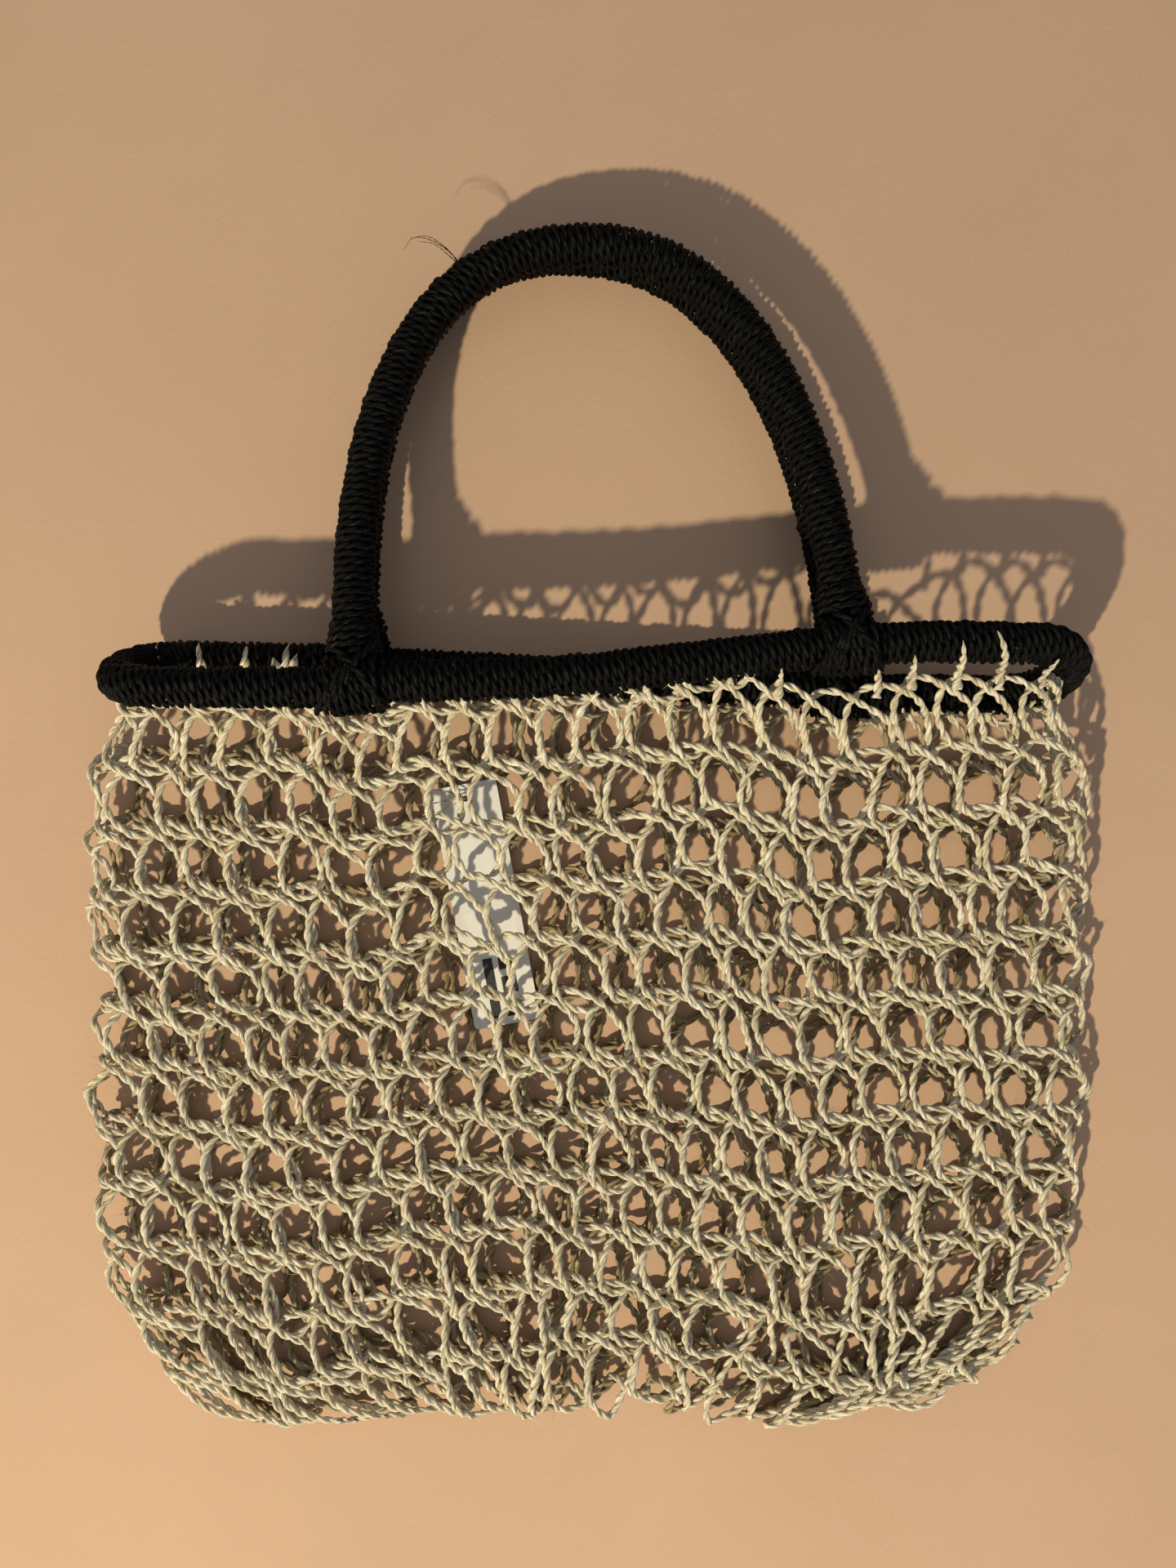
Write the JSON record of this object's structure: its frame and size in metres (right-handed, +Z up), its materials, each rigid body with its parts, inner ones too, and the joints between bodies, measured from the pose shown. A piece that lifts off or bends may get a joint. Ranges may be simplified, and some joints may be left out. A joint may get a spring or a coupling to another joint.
{
  "type": "looped net tote bag",
  "caption": "Net tote bag looped from natural sisal cord, hung from a hoop rim bound in black cord, with bound arch handles that fold over the rim and a card tag hanging inside.",
  "frame": {"origin": "centre of the bounding box on the floor, under the bag as it lies on its back", "axes": "+X across the mouth, +Y from the base of the bag towards the handles, +Z up from the back of the bag towards its front"},
  "size_m": [0.4062, 0.4909, 0.0602],
  "materials": {
    "black_cord": "twisted black-dyed sisal cord wound closely",
    "cane": "bare cane, hidden under the wrapping",
    "sisal": "natural two-ply sisal cord, pale straw with a slight sheen",
    "card": "coated white card"
  },
  "bodies": {
    "bag": {"rim_core_hoop": "cane", "rim_wrap_front": "black_cord", "rim_wrap_back": "black_cord", "rim_wrap_left_end": "black_cord", "rim_wrap_right_end": "black_cord", "net_front": "sisal", "net_back": "sisal", "foundation_cord": "sisal", "tag_tie": "sisal"},
    "front_handle": {"handle_core_front": "cane", "handle_wrap_front": "black_cord", "lashing_front_left": "black_cord", "lashing_front_right": "black_cord"},
    "back_handle": {"handle_core_back": "cane", "handle_wrap_back": "black_cord", "lashing_back_left": "black_cord", "lashing_back_right": "black_cord"},
    "tag": {"hang_tag": "card"}
  },
  "joints": [
    {"name": "front_handle_swing", "type": "hinge", "parent": "bag", "child": "front_handle", "pos_m": [0.00515, 0.06545, 0.049], "axis": [0.997, 0.0774, 0], "range_deg": [0, 150]},
    {"name": "back_handle_swing", "type": "hinge", "parent": "bag", "child": "back_handle", "pos_m": [0.005, 0.06405, 0.0116], "axis": [0.9985, -0.054, 0], "range_deg": [-90, 0]},
    {"name": "tag_swing", "type": "hinge", "parent": "bag", "child": "tag", "pos_m": [-0.0505, 0.015, 0.004], "axis": [0, 0, 1], "range_deg": [-8, 8]}
  ]
}
